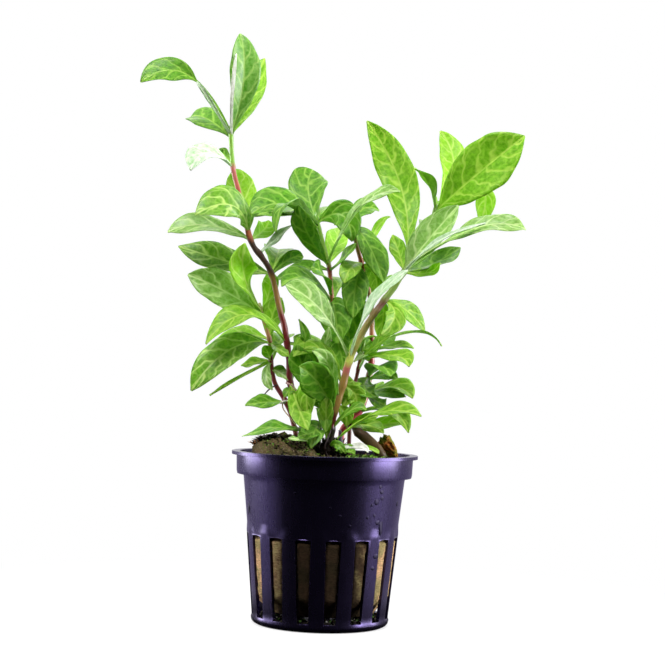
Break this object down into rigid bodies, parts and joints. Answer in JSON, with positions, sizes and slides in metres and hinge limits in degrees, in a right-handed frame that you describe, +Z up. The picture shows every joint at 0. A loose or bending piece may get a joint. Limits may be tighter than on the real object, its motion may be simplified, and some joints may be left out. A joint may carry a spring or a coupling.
{
  "type": "potted aquarium plant",
  "caption": "Bushy aquarium stem plant with pale-veined green leaves and reddish stems, growing from a rockwool plug in a slotted black pot with a flanged rim.",
  "frame": {"origin": "centre of the pot's flat underside, on the surface that it stands on", "axes": "+Z up along the pot's axis; -Y is the front, the side that the picture shows; +X is to the right seen from the front"},
  "size_m": [0.1123, 0.055, 0.1721],
  "materials": {
    "pot": "satin",
    "rockwool": "matte",
    "wool_flake": "matte",
    "stem": "satin",
    "old_stem": "matte",
    "leaf": "satin"
  },
  "bodies": {
    "root": {"pot": "pot", "rockwool": "rockwool", "wool_flake": "wool_flake", "old_stem": "old_stem", "stem_tall_left": "stem", "stem_short_left": "stem", "stem_centre": "stem", "stem_back_right": "stem", "stem_side_shoot": "stem", "stem_front_right": "stem", "stem_young_shoot": "stem", "leaf_tall_left_1": "leaf", "leaf_tall_left_2": "leaf", "leaf_tall_left_3": "leaf", "leaf_tall_left_4": "leaf", "leaf_tall_left_5": "leaf", "leaf_tall_left_6": "leaf", "leaf_tall_left_7": "leaf", "leaf_tall_left_8": "leaf", "leaf_tall_left_9": "leaf", "leaf_tall_left_10": "leaf", "leaf_tall_left_11": "leaf", "leaf_short_left_1": "leaf", "leaf_short_left_2": "leaf", "leaf_short_left_3": "leaf", "leaf_short_left_4": "leaf", "leaf_short_left_5": "leaf", "leaf_centre_1": "leaf", "leaf_centre_2": "leaf", "leaf_centre_3": "leaf", "leaf_centre_4": "leaf", "leaf_centre_5": "leaf", "leaf_centre_6": "leaf", "leaf_centre_7": "leaf", "leaf_centre_8": "leaf", "leaf_centre_9": "leaf", "leaf_centre_10": "leaf", "leaf_back_right_1": "leaf", "leaf_back_right_2": "leaf", "leaf_back_right_3": "leaf", "leaf_back_right_4": "leaf", "leaf_back_right_5": "leaf", "leaf_back_right_6": "leaf", "leaf_side_shoot_1": "leaf", "leaf_side_shoot_2": "leaf", "leaf_side_shoot_3": "leaf", "leaf_front_right_1": "leaf", "leaf_front_right_2": "leaf", "leaf_front_right_3": "leaf", "leaf_front_right_4": "leaf", "leaf_front_right_5": "leaf", "leaf_front_right_6": "leaf", "leaf_front_right_7": "leaf", "leaf_front_right_8": "leaf", "leaf_front_right_9": "leaf", "leaf_front_right_10": "leaf", "leaf_front_right_11": "leaf", "leaf_front_right_12": "leaf", "leaf_front_right_13": "leaf", "leaf_young_shoot_1": "leaf"}
  },
  "joints": []
}
